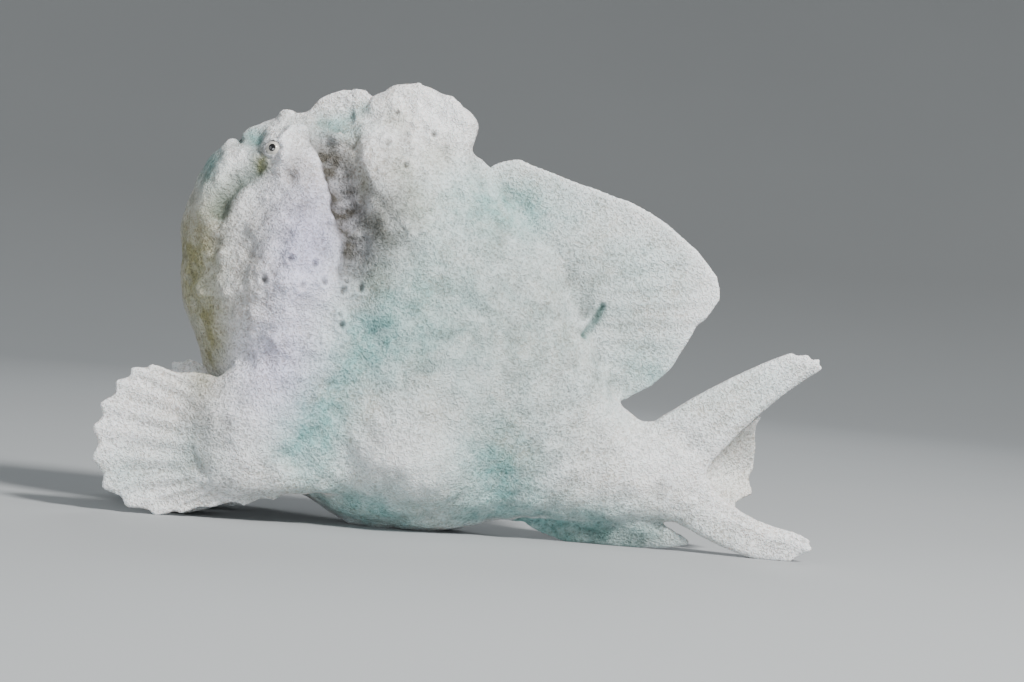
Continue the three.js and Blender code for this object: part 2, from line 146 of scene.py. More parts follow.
# Soft tints and painted shade of the flanks: the dark spots are painted shade on the shoulder, behind the
# eye and over the face, and the teal is partly the skin's green-blue and partly painted shade on the belly,
# waist, arm and underside. Each spot has its share, x, z, reach along x, reach along z.
FACE_TINTS_AND_SHADE = (
    ("dark", ((0.78, -67, 146, 15, 24), (0.6, -114, 170, 4.5, 8))),
    ("dark", ((0.4, -104, 188, 7, 4), (0.3, -112, 150, 40, 30))),
    ("lavender", ((1.0, -103, 138, 22, 36), (0.8, -112, 76, 22, 28))),
    ("brown", ((0.3, -128, 122, 8, 26),)),
)
TEAL_AND_SHADE_SPOTS = (
    (0.8, -8, 166, 38, 18), (0.75, -58, 102, 28, 30), (0.7, -90, 45, 16, 22), (0.9, -66, 8, 40, 18),
    (0.95, -2, 30, 24, 30), (0.4, 70, 84, 20, 14), (0.35, 62, 138, 28, 24), (1.0, 40, 6, 54, 16),
    (0.4, -35, 120, 36, 42), (0.44, 10, 100, 62, 62), (0.4, -150, 30, 16, 16), (0.35, -180, 20, 14, 12),
    (0.25, 120, 84, 36, 24), (0.3, -100, 196, 22, 8), (0.3, 66, 94, 18, 16),
)

# Round spots of brown mottles, and pale spots of painted highlight on the bulges that face the light, each
# at x, z with its reach.
BROWN_SPOTS = ((-62, 176, 9), (-66, 200, 8), (-44, 186, 8), (-52, 160, 10), (-74, 150, 7), (-70, 122, 8))
PALE_HIGHLIGHT_SPOTS = (
    (-40, 32, 17), (60, 68, 8), (96, 124, 13), (-45, 206, 18), (-20, 80, 20), (-110, 50, 14), (80, 40, 14),
    (54, 121, 5), (48, 66, 9), (-22, 48, 8), (-60, 42, 8),
)

# Large pale warts and ringed pores, each at x, z.
WARTS = ((-145, 128.4), (-139, 109.4), (-152, 108), (-96, 166), (-94.5, 160), (-92.5, 150), (-83, 144))
PORES = (
    (-82.5, 120.5), (-83.5, 116), (-75.6, 118), (-83.6, 104), (-82.7, 99.4), (-101.6, 184),
    (-93.4, 118.8), (-104, 116), (-121, 118), (-66.5, 205), (-60, 178), (-99, 127), (-110, 128),
    (-48, 196), (-70, 188),
)

# The far side's teal is guessed, so it is fainter.
TEAL_NEAR, TEAL_FAR = 0.8, 0.45
FAR_SIDE = 6

# Patterns of the skin, in cells per metre, and the height of its finest ridges.
NET_SCALE = 420.0
WORM_SCALE = 640.0
PIT_SCALE = 900.0
CLOUD_SCALE = 38.0
PATCH_SCALE = 95.0
RIDGE_HEIGHT = 0.48 * MM

# The lid over each eyeball, and the zone of finer mesh round it, in millimetres.
LID_THICKNESS = 0.8
LID_REACH = 3.2
EYE_RECESS = 1.6
EYE_ZONE = 11

# Smoothing of the body: its rounds, its strength and the share that each round gives back to keep the size.
BODY_ROUNDS, BODY_STRENGTH = 22, 0.55
GIVE_BACK = 1.04

# Swelling of body and fins after their smoothing, and how far the smoothing where they meet reaches, in mm.
BODY_SWELL, FIN_SWELL = 0.7, 0.25
JOIN_ROUNDS, JOIN_REACH = 14, 5.5

# A fin's outline is looked up on this many columns across its rays and rows along them.
FIN_COLUMNS, FIN_ROWS = 240, 60

# The floor's mesh and how steeply its far part sweeps up.
FLOOR_CELLS = 140
FLOOR_SWEEP = 0.35

# What the lights and the camera point at, in millimetres.
LIGHT_TARGET = (-20, 0, 90)
CAMERA_TARGET = (0, 0, 97.8)

# Lights: name, place, size, power, colour.
LIGHTS = (
    ("key_light", (1.15, -1.05, 1.45), 0.40, 87, (1.0, 0.985, 0.96)),
    ("fill_light", (-1.5, -1.2, 0.7), 1.2, 6, (0.93, 0.97, 1.0)),
    ("low_light", (-0.2, -1.7, 0.22), 0.8, 13, (0.93, 0.98, 1.0)),
    ("rim_light", (0.2, 1.5, 1.3), 0.9, 12, (0.95, 0.98, 1.0)),
)


def place_of_middle():
    """The model's own middle in the scene, from its two eyes."""
    left, right = (np.mean(np.array(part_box(name)), axis=0) for name in ("eye_left", "eye_right"))
    return np.array([left[0] - EYE_X * MM, (left[1] + right[1]) / 2, 0.0])


MIDDLE = place_of_middle()


def scene_point(x, y, z):
    return Vector((x * MM + MIDDLE[0], y * MM + MIDDLE[1], z * MM))


def run(operator, **settings):
    """Calls an operator and stops if it could not finish."""
    if "FINISHED" not in operator(**settings):
        raise RuntimeError(f"{operator.idname_py()} could not finish")


def pick_only(*objects):
    bpy.ops.object.select_all(action="DESELECT")
    for one in objects:
        one.select_set(True)
    bpy.context.view_layer.objects.active = objects[-1] if objects else None


def apply_all(piece):
    pick_only(piece)
    for modifier in list(piece.modifiers):
        run(bpy.ops.object.modifier_apply, modifier=modifier.name)


def hand_in(piece, slot, *nodes):
    """Hangs a finished piece on the root and hides the nodes that it stands for."""
    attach(piece, "root")
    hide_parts(*nodes)


def merged_copy(nodes, name):
    """One new object from copies of CAD nodes, their loose triangles merged."""
    copies = []
    for node in nodes:
        copy = bpy.data.objects.new(node + "_copy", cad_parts[node].data.copy())
        bpy.context.collection.objects.link(copy)
        copy.data.materials.clear()
        copies.append(copy)
    pick_only(*copies)
    run(bpy.ops.object.join)
    piece = bpy.context.view_layer.objects.active
    piece.name = piece.data.name = name
    run(bpy.ops.object.mode_set, mode="EDIT")
    run(bpy.ops.mesh.select_all, action="SELECT")
    run(bpy.ops.mesh.remove_doubles, threshold=1e-5)
    run(bpy.ops.object.mode_set, mode="OBJECT")
    return piece


def even_mesh(piece, cell):
    """Rebuilds a piece as one closed mesh of cells of that size."""
    rebuild = piece.modifiers.new("even", "REMESH")
    rebuild.mode = "VOXEL"
    rebuild.voxel_size = cell
    apply_all(piece)


def read_places(mesh):
    places = np.empty(len(mesh.vertices) * 3)
    mesh.vertices.foreach_get("co", places)
    return places.reshape(-1, 3)


def write_places(mesh, places):
    mesh.vertices.foreach_set("co", places.ravel())
    mesh.update()


def read_normals(mesh):
    normals = np.empty(len(mesh.vertices) * 3)
    mesh.vertex_normals.foreach_get("vector", normals)
    return normals.reshape(-1, 3)


def read_edges(mesh):
    edges = np.empty(len(mesh.edges) * 2, dtype=np.int64)
    mesh.edges.foreach_get("vertices", edges)
    return edges.reshape(-1, 2)


def around(values, edges, count):
    """The mean of each vertex's neighbours."""
    first, second = edges.T
    total = np.empty_like(values)
    for k in range(values.shape[1]):
        column = values[:, k]
        total[:, k] = np.bincount(first, column[second], count) + np.bincount(second, column[first], count)
    neighbours = np.bincount(first, minlength=count) + np.bincount(second, minlength=count)
    return total / np.maximum(neighbours, 1)[:, None]


def relax(mesh, rounds, strength=0.5, keep_size=False):
    """Smooths a mesh. strength may be one number or one for each vertex."""
    places = read_places(mesh)
    edges = read_edges(mesh)
    weight = np.broadcast_to(np.asarray(strength, dtype=float), (len(places),))[:, None]
    for _ in range(rounds):
        places += (around(places, edges, len(places)) - places) * weight
        if keep_size:
            places -= (around(places, edges, len(places)) - places) * weight * GIVE_BACK
    write_places(mesh, places)


def swell(mesh, amount):
    write_places(mesh, read_places(mesh) + read_normals(mesh) * amount)


def bell(distance, reach):
    return np.exp(-((distance / reach) ** 2))


def ramp(value, start, end):
    t = np.clip((value - start) / (end - start), 0, 1)
    return t * t * (3 - 2 * t)


def to_line(x, z, line):
    """Distance of each place to a line in side view, how far along it (0 to 1) and on which side it is."""
    best = np.full(len(x), 1e9)
    along = np.zeros(len(x))
    side = np.zeros(len(x))
    for i, ((ax, az), (bx, bz)) in enumerate(zip(line, line[1:])):
        dx, dz = bx - ax, bz - az
        t = np.clip(((x - ax) * dx + (z - az) * dz) / (dx * dx + dz * dz), 0, 1)
        distance = np.hypot(x - ax - t * dx, z - az - t * dz)
        nearer = distance < best
        best = np.where(nearer, distance, best)
        along = np.where(nearer, (i + t) / (len(line) - 1), along)
        side = np.where(nearer, np.sign((x - ax) * dz - (z - az) * dx), side)
    return best, along, side


def grain(places, size, seed):
    """Soft noise from -1 to 1 with lumps of that size, in millimetres."""
    scaled = places / size + seed * 17.3
    return np.array([noise.noise(Vector(p)) for p in scaled])


def catmull(points, t):
    """A smooth curve through points, at t from 0 to 1."""
    points = np.asarray(points, dtype=float)
    last = len(points) - 1
    at = np.clip(t, 0, 1) * last
    i = np.minimum(at.astype(int), last - 1)
    f = (at - i)[:, None]
    p1, p2 = points[i], points[i + 1]
    p0 = np.where((i > 0)[:, None], points[np.maximum(i - 1, 0)], 2 * p1 - p2)
    p3 = np.where((i < last - 1)[:, None], points[np.minimum(i + 2, last)], 2 * p2 - p1)
    return 0.5 * (2 * p1 + (p2 - p0) * f + (2 * p0 - 5 * p1 + 4 * p2 - p3) * f**2
                  + (3 * p1 - p0 - 3 * p2 + p3) * f**3)


def on_fin(x, z, fin):
    """Where each place lies on a fin: across its rays, along them, and how far from it in side view."""
    across = np.linspace(0, 1, FIN_COLUMNS)
    root, edge = catmull(fin["root"], across), catmull(fin["edge"], across)
    tree = KDTree(FIN_COLUMNS * FIN_ROWS)
    for k in range(FIN_ROWS):
        row = root + (edge - root) * (k / (FIN_ROWS - 1))
        for j, (row_x, row_z) in enumerate(row):
            tree.insert((row_x, row_z, 0), k * FIN_COLUMNS + j)
    tree.balance()
    found = [tree.find((a, b, 0)) for a, b in zip(x, z)]
    index = np.array([f[1] for f in found])
    columns, rows = index % FIN_COLUMNS, index // FIN_COLUMNS
    return columns / (FIN_COLUMNS - 1), rows / (FIN_ROWS - 1), np.array([f[2] for f in found])


def left_side(places):
    """The right half brought over to the left one: as it is, and with its turned arm turned back."""
    mirrored = places * np.array([1, -1, 1])
    sine, cosine = math.sin(FAR_ARM_TURN), math.cos(FAR_ARM_TURN)
    dx, dy = places[:, 0] - SHOULDER[0], places[:, 1] - SHOULDER[1]
    arm = np.stack([
        dx * cosine - dy * sine + SHOULDER[0], -(dx * sine + dy * cosine + SHOULDER[1]), places[:, 2],
    ], axis=1)
    return mirrored, arm


class SkinShape:
    """The sculpted relief of the skin, and the masks for its colours, its painted shade and its painted
    highlights.
    """

    def __init__(self, places, normals, fin_share):
        self.places = places
        self.normals = normals
        self.fin = fin_share
        mirrored, arm = left_side(places)
        far = places[:, 1] > 0
        self.left = np.where(far[:, None], mirrored, places)
        self.arm = np.where(far[:, None], arm, places)
        self.lift = np.zeros(len(places))
        self.sway = np.zeros(len(places))
        self.masks = {}

    @property
    def side(self):
        """How far each place faces sideways, from 0 to 1."""
        return np.abs(self.normals[:, 1])

    def bump(self, x, z, reach, height):
        p = self.left
        distance = np.hypot(p[:, 0] - x, p[:, 2] - z)
        self.lift += height * bell(distance, reach) * (self.side > 0.2)

    def near(self, line, reach, fade=(0.0, 1.0)):
        """How near each place is to a line, its distance in front (-) or behind (+), and its share."""
        distance, along, side = to_line(self.left[:, 0], self.left[:, 2], line)
        start, end = fade
        share = ramp(along, start - 1e-6, start + 0.15) * (1 - ramp(along, end - 0.15, end + 1e-6))
        share = share * ramp(self.side, 0.08, 0.35)
        return bell(distance, reach) * share, -distance * side, share

    def groove(self, line, reach, depth, fade=(0.0, 1.0)):
        """Sinks a groove along a line, and returns a wider share of it for painted shade along the groove.
        """
        close, _, _ = self.near(line, reach, fade)
        self.lift -= depth * close
        return self.near(line, reach * 1.4, fade)[0]

    def spot(self, x, z, reach_x, reach_z, across=False):
        """A soft round share of the flanks, or right across the fish, for a tint or a swelling."""
        p = self.left
        share = np.exp(-(((p[:, 0] - x) / reach_x) ** 2) - (((p[:, 2] - z) / reach_z) ** 2))
        return share if across else share * ramp(self.side, 0.05, 0.5)

    def spots(self, rows):
        """The sum of several spots, each with its own height or share."""
        return sum(height * self.spot(*place) for height, *place in rows)

    def tint(self, name, share):
        """Adds to a colour mask, softly where it was tinted before."""
        share = np.clip(share, 0, 1)
        if name == "teal":
            share = share * np.where(self.places[:, 1] > FAR_SIDE, TEAL_FAR, TEAL_NEAR)
        self.masks[name] = 1 - (1 - self.masks.get(name, 0)) * (1 - share)

    def shape_slit(self):
        """The mouth's opening across the front, between its lips, with painted shade down in the slit."""
        from_slit = to_line(self.left[:, 0], self.left[:, 2], MOUTH_SLIT)[0]
        off_middle = np.abs(self.places[:, 1])
        slit = bell(from_slit, 2.2) * (1 - ramp(off_middle, 8, 19))
        lips = bell(from_slit - 6.0, 2.4) * (1 - ramp(off_middle, 12, 24))
        self.lift += 0.5 * lips - 3.0 * slit
        self.tint("cavity", 0.85 * slit)
        self.tint("pale", 0.7 * lips)

    def shape_mouth(self):
        """The side of the mouth: the thick lower lip, the rim beyond it and the hollow below, with painted
        shade in the hollows and on the jaw's front, and a pale lip that is partly painted highlight.
        """
        lumps = 1 + 0.4 * grain(self.left, 5.5, 11) + 0.25 * grain(self.left, 2.8, 12)
        lip, _, _ = self.near(LOWER_LIP, 6.0, (-0.2, 1.1))
        rim, _, _ = self.near(UPPER_RIM, 2.2, (-0.2, 1.0))
        self.lift += 3.0 * lip * lumps + 0.8 * rim - 3.4 * self.spot(-134.5, 186, 4.5, 6)
        # Painted shade in the hollow at the mouth's corner.
        self.tint("cavity", 0.5 * self.spot(-133, 179, 3, 4))
        under = self.groove(LIP_GROOVE, 3.4, 4.0, (-0.1, 0.95))
        front = self.spot(-156, 172, 7, 12, across=True)
        # Teal, dark and brown here are painted shade: under the lip, in the mouth's corner, on the jaw's
        # front that faces away from the light and below the eye.
        self.tint("teal", 0.5 * under + 1.0 * self.spot(-136, 187, 6, 6.5) + 0.9 * front)
        self.tint("dark", 0.5 * under + self.spots(((0.5, -135, 186, 5, 6), (0.45, -157, 172, 6, 11))))
        self.tint("brown", 0.35 * under + 0.95 * self.spot(-129, 173.5, 4, 4.5))
        # The pale lip and rim are partly painted highlight where they face the light.
        self.tint("pale", 1.1 * lip * lumps + 0.9 * rim)

    def shape_cheek_groove(self):
        """The deep groove behind the cheek: sharp along the cheek, soft towards the trunk, with painted
        shade down in it.
        """
        _, behind, share = self.near(CHEEK_EDGE, 1.0, (-0.05, 1.05))
        share = share * ramp(self.left[:, 2], 108, 150)
        self.lift -= 6.8 * ramp(behind, -2.5, 3.5) * (1 - ramp(behind, 4, 23)) * share
        shade = ramp(behind, -1.5, 2.0) * (1 - ramp(behind, 3.0, 19)) * share
        self.tint("dark", 1.05 * np.sqrt(shade) * (0.85 + 0.4 * grain(self.left, 7, 21)))

    def shape_hump(self):
        """The clear front edge of the hump behind the head."""
        _, behind, share = self.near(HUMP_EDGE, 1.0, (-0.1, 1.05))
        self.lift += 3.2 * ramp(behind, -1.5, 3.5) * (1 - ramp(behind, 8, 34)) * share
        edge, _, _ = self.near(HUMP_EDGE, 2.4)
        self.tint("brown", 0.25 * edge + self.spots(((0.45, -80, 166, 3.5, 7), (0.4, -87, 179, 3.5, 9))))

    def shape_face(self):
        ridge, _, _ = self.near(EYE_RIDGE, 3.0, (-0.1, 1.1))
        self.lift += self.spots(FACE_RELIEF) + 3.6 * ridge
        self.shape_cheek_groove()
        self.shape_hump()
        # Teal in the groove under the flap is painted shade.
        self.tint("teal", 0.55 * self.groove(FLAP_GROOVE, 2.8, 1.5) + 0.5 * self.spot(-92, 194, 9, 4))
        # The dark face spots are painted shade; lavender and brown are tints.
        for name, rows in FACE_TINTS_AND_SHADE:
            self.tint(name, self.spots(rows))
        # Brown on the chin and throat is painted shade, where they face away from the light.
        chin = self.spot(-160, 124, 17, 38, across=True)
        throat = self.spot(-146, 84, 10, 26, across=True)
        self.tint("brown", 1.0 * chin + 0.8 * throat)
        for x, z, reach in BROWN_SPOTS:
            self.tint("brown", 0.34 * self.spot(x, z, reach, reach))
        # Pale along the eye ridge and on the eye's mound is painted highlight; a further pale spot lies low
        # behind the cheek.
        self.tint("pale", 0.9 * ridge + self.spots(((0.5, -124, 182, 7, 7), (0.7, -99, 112, 14, 14))))

    def shape_flanks(self):
        self.lift += self.spots(FLANK_RELIEF)
        p = self.places
        # Painted shade on the far side of the tail fin's middle web, which folds away from the light.
        shaded_inner_web = (p[:, 0] > 96) * (p[:, 2] > 20) * (p[:, 2] < 74) * ramp(p[:, 1], 7, 12)
        self.tint("brown", 0.22 * shaded_inner_web)
        # Teal along the groove between arm and belly is painted shade.
        self.tint("teal", 0.72 * self.groove(ARM_GROOVE, 11, 4.6))
        # Darker over the middle of the flank, and painted shade at the wrist.
        self.tint("dark", self.spots(((0.34, 0, 104, 60, 60), (0.3, -142, 44, 12, 24))))
        # Painted shade along the underside by the anal fin.
        self.tint("dark", 0.72 * self.spot(54, 4, 40, 9) * (p[:, 2] < 16))
        # The teal spots are partly painted shade on the belly, waist and underside.
        for row in TEAL_AND_SHADE_SPOTS:
            self.tint("teal", self.spots((row,)))
        # The pale spots are painted highlights on the bulges.
        for x, z, reach in PALE_HIGHLIGHT_SPOTS:
            self.tint("pale", 0.8 * self.spot(x, z, reach, reach))

    def shape_fold(self):
        """The short slanting fold at the root of the dorsal fin, with its raised front rim and painted
        shade down in the fold.
        """
        fold, behind, share = self.near(SIDE_FOLD, 1.8, (-0.15, 1.15))
        rim = bell(np.abs(behind + 3.4), 1.6) * (behind < 0) * bell(behind, 5) * share
        self.lift += 1.5 * rim - 2.2 * fold
        self.tint("teal", 0.7 * fold)
        self.tint("dark", 0.4 * fold)

    def shape_lumps(self):
        """Uneven flesh, scattered warts and the ringed pores."""
        body = 1 - self.fin
        broad, middling = grain(self.places, 24, 1), grain(self.places, 9, 2)
        small = grain(self.places, 4.0, 3)
        head = self.spots(((1, -112, 140, 34, 60), (1, -58, 186, 34, 30)))
        self.lift += body * (1.8 * broad + (1.0 + 0.9 * head) * middling + (0.35 + 0.55 * head) * small)
        self.lift += self.fin * 0.12 * small
        # Painted shade in the dips between the lumps.
        self.tint("dark", body * 0.22 * ramp(-middling, 0.15, 0.55))
        picks = random.Random(7)
        knobs = [(picks.gauss(-116, 20), picks.gauss(134, 34), 1.0) for _ in range(80)]
        knobs += [(picks.gauss(-56, 18), picks.gauss(190, 20), 1.2) for _ in range(90)]
        knobs += [(picks.uniform(-150, 40), picks.uniform(15, 170), 0.6) for _ in range(70)]
        for x, z, size in knobs:
            reach, height = picks.uniform(1.2, 2.6), picks.uniform(0.4, 1.1)
            self.bump(x, z, reach, height * size)
        for x, z in WARTS:
            self.bump(x, z, 2.8, 2.4)
            self.tint("pale", 0.8 * self.spot(x, z, 3, 3))
        for x, z in PORES:
            self.pore(x, z, picks.uniform(0.8, 1.2))

    def pore(self, x, z, size):
        """A small pit with a pale raised rim and painted shade in the pit."""
        p = self.left
        distance = np.hypot(p[:, 0] - x, (p[:, 2] - z) * 0.8) / size
        share = self.side > 0.2
        self.lift += (0.9 * bell(distance - 2.4, 1.0) - 1.2 * bell(distance, 1.2)) * share * size
        self.tint("pale", 1.0 * bell(distance - 2.4, 0.8) * share)
        self.tint("dark", 0.5 * bell(distance, 1.1) * share)

    def fin_zones(self):
        """Which vertices belong to each fin, and the side in which its outline is given."""
        x, y, z = self.left.T
        arm_x, arm_y, arm_z = self.arm.T
        upright = np.abs(y) < 12
        return {
            "hand": ((arm_x < -96) & (arm_z < 76) & (arm_y < -34) & (self.fin > 0.2), self.arm),
            "dorsal": (upright & (x > -22) & (z > 74), self.left),
            "anal": (upright & (x > 4) & (x < 102) & (z < 17), self.left),
            "tail_upper": (upright & (x > 90) & (z > 46), self.left),
            "tail_lower": (upright & (x > 100) & (z < 36), self.left),
        }

    def shape_fins(self):
        """The fins' rays, their pale rims and a gentle sway."""
        for name, (zone, places) in self.fin_zones().items():
            fin = FINS[name]
            chosen = np.nonzero(zone)[0]
            across, along, off = on_fin(places[chosen, 0], places[chosen, 2], fin)
            share = ramp(along, 0.0, 0.35) * (1 - ramp(off, 1.5, 4))
            ray = np.cos(2 * np.pi * across * fin["rays"])
            self.lift[chosen] += fin["height"] * 0.5 * ray * share
            line = 0.5 + 0.5 * ray
            edge = np.zeros(len(self.places))
            edge[chosen] = share * (0.35 * line**3 + 0.9 * ramp(along, 0.9, 1.0))
            self.tint("pale", edge)
        self.sway = self.fin * 0.9 * grain(self.places, 30, 5)

    def shape_all(self):
        self.shape_slit()
        self.shape_mouth()
        self.shape_face()
        self.shape_flanks()
        self.shape_fold()
        self.shape_lumps()
        self.shape_fins()


def off_the_body(mesh, body_tree):
    """How far each vertex stands from the body, in millimetres: the fins are what stands off it."""
    return np.array([body_tree.find_nearest(v.co)[3] for v in mesh.vertices]) / MM


def settle_lids(shape, places, eyes):
    """Wraps the skin round each eyeball, as a lid with an opening."""
    for middle, gaze, radius, opening in eyes:
        offset = places - middle
        reach = np.linalg.norm(offset, axis=1)
        near = reach < radius + LID_REACH
        angle = np.degrees(np.arccos(np.clip(offset @ gaze / np.maximum(reach, 1e-6), -1, 1)))
        shut = ramp(angle, opening - 4, opening + 4)
        wanted = (radius + LID_THICKNESS) * shut + (radius - EYE_RECESS) * (1 - shut)
        lifted = np.where(angle < opening + 6, wanted, np.maximum(reach, wanted))
        scale = np.where(near & (angle < 100), lifted / np.maximum(reach, 1e-6), 1.0)
        places[:] = middle + offset * scale[:, None]
        # Painted shade along the lid's rim round the opening.
        shape.tint("dark", 0.3 * bell(angle - opening, 5) * near)


def finer_near(piece, middles, reach, cuts):
    """Divides the faces near some places."""
    grid = bmesh.new()
    grid.from_mesh(piece.data)
    for _ in range(cuts):
        edges = [
            e for e in grid.edges
            if any(((e.verts[0].co + e.verts[1].co) / 2 - m).length < reach for m in middles)
        ]
        bmesh.ops.subdivide_edges(grid, edges=edges, cuts=1, use_grid_fill=True)
    bmesh.ops.triangulate(grid, faces=grid.faces[:])
    grid.to_mesh(piece.data)
    grid.free()


def store_masks(mesh, masks):
    """Keeps the colour masks with the skin as two colour attributes; they carry painted shade and painted
    highlights as well as tints.
    """
    groups = {"tints": ("teal", "brown", "lavender"), "marks": ("pale", "dark", "cavity")}
    for name, channels in groups.items():
        layer = mesh.color_attributes.new(name, "FLOAT_COLOR", "POINT")
        values = np.ones((len(mesh.vertices), 4))
        for k, channel in enumerate(channels):
            values[:, k] = np.clip(masks.get(channel, 0), 0, 1)
        layer.data.foreach_set("color", values.ravel())


class Nodes:
    """Builds a material's nodes with short calls."""

    def __init__(self, name):
        self.material = bpy.data.materials.new(name)
        self.material.use_nodes = True
        self.tree = self.material.node_tree
        self.shader = self.tree.nodes["Principled BSDF"]

    def add(self, kind, inputs=None, **settings):
        made = self.tree.nodes.new(kind)
        for key, value in settings.items():
            setattr(made, key, value)
        for key, value in (inputs or {}).items():
            self.feed(made.inputs[key], value)
        return made

    def feed(self, socket, value):
        if isinstance(value, bpy.types.NodeSocket):
            self.tree.links.new(value, socket)
        else:
            socket.default_value = value

    def maths(self, operation, first, second=0.0, clamp=False):
        made = self.add("ShaderNodeMath", {0: first, 1: second}, operation=operation, use_clamp=clamp)
        return made.outputs[0]

    def blend(self, share, first, second, way="MIX"):
        made = self.add("ShaderNodeMix", data_type="RGBA", blend_type=way)
        self.feed(made.inputs[0], share)
        self.feed(made.inputs[6], first)
        self.feed(made.inputs[7], second)
        return made.outputs[2]

    def mask(self, layer):
        """The three channels of a stored colour mask."""
        stored = self.add("ShaderNodeVertexColor", layer_name=layer).outputs[0]
        return self.add("ShaderNodeSeparateColor", {0: stored}).outputs

    def noise(self, at, scale, **settings):
        inputs = {"Vector": at, "Scale": scale, **settings}
        return self.add("ShaderNodeTexNoise", inputs).outputs[0]

    def cells(self, at, scale, feature):
        return self.add("ShaderNodeTexVoronoi", {"Vector": at, "Scale": scale}, feature=feature).outputs[0]

    def steps(self, value, stops):
        made = self.add("ShaderNodeValToRGB", {0: value})
        ramp_stops = made.color_ramp.elements
        while len(ramp_stops) < len(stops):
            ramp_stops.new(0.5)
        for stop, (at, colour) in zip(ramp_stops, stops):
            stop.position = at
            stop.color = colour
        return made.outputs[0]


def grey(level):
    return (level, level, level, 1.0)


def warped_places(n, at):
    """The object's places, bent a little so that the net's cells are uneven."""
    bend = n.add("ShaderNodeTexNoise", {"Vector": at, "Scale": 260.0, "Detail": 2.0})
    inputs = {0: bend.outputs["Color"], 1: (0.003, 0.003, 0.003)}
    bent = n.add("ShaderNodeVectorMath", inputs, operation="MULTIPLY")
    return n.add("ShaderNodeVectorMath", {0: at, 1: bent.outputs[0]}, operation="ADD").outputs[0]


def skin_material(colours):
    """Thick, finely netted skin, with the tints, painted shade and painted highlights that the sculpting
    left in its masks.
    """
    n = Nodes("frogfish_skin")
    at = n.add("ShaderNodeTexCoord").outputs["Object"]
    teal, brown, lavender = n.mask("tints")
    pale, dark, cavity = n.mask("marks")
    net = n.cells(warped_places(n, at), NET_SCALE, "DISTANCE_TO_EDGE")
    threads = n.steps(net, ((0.0, grey(1)), (0.14, grey(0.4)), (0.36, grey(0))))
    worms = n.noise(at, WORM_SCALE, Detail=0.0, Distortion=0.9)
    worm_lines = n.steps(worms, ((0.42, grey(0)), (0.56, grey(1))))
    pits = n.steps(n.cells(at, PIT_SCALE, "F1"), ((0.0, grey(1)), (0.28, grey(0))))
    cloud = n.noise(at, CLOUD_SCALE, Detail=4.0, Roughness=0.6)
    patch = n.noise(at, PATCH_SCALE, Detail=3.0, Roughness=0.65)
    clouds = n.steps(cloud, ((0.35, grey(0)), (0.65, grey(1))))
    patches = n.steps(patch, ((0.4, grey(0)), (0.62, grey(1))))
    mottled = n.maths("ADD", n.maths("MULTIPLY", patches, 0.36), 0.14)
    net_zone = n.maths("ADD", n.maths("MULTIPLY", clouds, 0.45), 0.5)
    colour = n.blend(clouds, colours["warm"], colours["cool"])
    # The pale mask is partly painted highlight.
    for share, tone in (
        (mottled, "mottle"), (n.maths("MULTIPLY", worm_lines, 0.55), "pale"),
        (n.maths("MULTIPLY", threads, net_zone), "pale"), (n.maths("MULTIPLY", pale, 0.7), "pale"),
        (n.maths("MULTIPLY", pits, 0.45), "mottle"),
    ):
        colour = n.blend(share, colour, colours[tone])
    colour = n.blend(lavender, colour, colours["lavender"], way="MULTIPLY")
    uneven = n.maths("ADD", n.maths("MULTIPLY", patches, 0.3), 0.8)
    # Brown, teal and dark carry painted shade as well as tints.
    for share, tone in ((brown, "brown"), (teal, "teal"), (dark, "dark")):
        share = n.maths("MULTIPLY", uneven, share, clamp=True)
        colour = n.blend(share, colour, colours[tone], way="MULTIPLY")
    # Painted shade inside the mouth's opening.
    colour = n.blend(cavity, colour, colours["cavity"], way="MULTIPLY")
    height = n.maths("ADD", n.maths("MULTIPLY", threads, 0.5), n.maths("MULTIPLY", worm_lines, 0.9))
    height = n.maths("SUBTRACT", height, n.maths("MULTIPLY", pits, 0.4))
    height = n.maths("ADD", height, n.maths("MULTIPLY", patch, 1.6))
    bump = n.add("ShaderNodeBump", {"Strength": 0.85, "Distance": RIDGE_HEIGHT, "Height": height})
    n.feed(n.shader.inputs["Base Color"], colour)
    n.feed(n.shader.inputs["Normal"], bump.outputs[0])
    n.feed(n.shader.inputs["Roughness"], n.maths("ADD", n.maths("MULTIPLY", threads, 0.12), 0.52))
    n.feed(n.shader.inputs["Subsurface Weight"], 0.12)
    n.feed(n.shader.inputs["Subsurface Radius"], (0.004, 0.0022, 0.0016))
    n.feed(n.shader.inputs["Subsurface Scale"], 1.0)
    n.feed(n.shader.inputs["Specular IOR Level"], 0.4)
    return n.material


